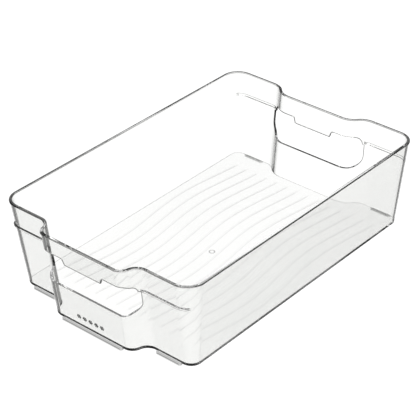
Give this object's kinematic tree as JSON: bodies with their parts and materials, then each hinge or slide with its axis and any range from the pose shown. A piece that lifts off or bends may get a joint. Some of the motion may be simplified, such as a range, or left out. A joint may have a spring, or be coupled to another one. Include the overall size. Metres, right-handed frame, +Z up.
{
  "type": "fridge bin",
  "caption": "Clear moulded fridge bin with a bowed front, a hand hole in each end, a rolled rim, stacking ledges, a rippled floor and low feet.",
  "frame": {"origin": "middle of the footprint on the plane that the feet stand on", "axes": "+X to the bin's right when seen from the front, +Y from the bowed front to the rear, +Z up"},
  "size_m": [0.2374, 0.3699, 0.1004],
  "materials": {
    "clear_plastic": "clear, polished",
    "dark_ink": "printed ink"
  },
  "bodies": {
    "root": {"floor_pan": "clear_plastic", "floor_ripples": "clear_plastic", "gate_mark": "clear_plastic", "base_feet": "clear_plastic", "left_side_wall": "clear_plastic", "right_side_wall": "clear_plastic", "front_left_corner": "clear_plastic", "front_right_corner": "clear_plastic", "rear_left_corner": "clear_plastic", "rear_right_corner": "clear_plastic", "front_left_wing": "clear_plastic", "front_right_wing": "clear_plastic", "front_handle_panel": "clear_plastic", "front_grip_band": "clear_plastic", "rear_left_wing": "clear_plastic", "rear_right_wing": "clear_plastic", "rear_handle_panel": "clear_plastic", "rear_grip_band": "clear_plastic", "front_left_ledge": "clear_plastic", "front_right_ledge": "clear_plastic", "rear_left_ledge": "clear_plastic", "rear_right_ledge": "clear_plastic", "rim_bead": "clear_plastic", "printed_mark": "dark_ink"}
  },
  "joints": []
}
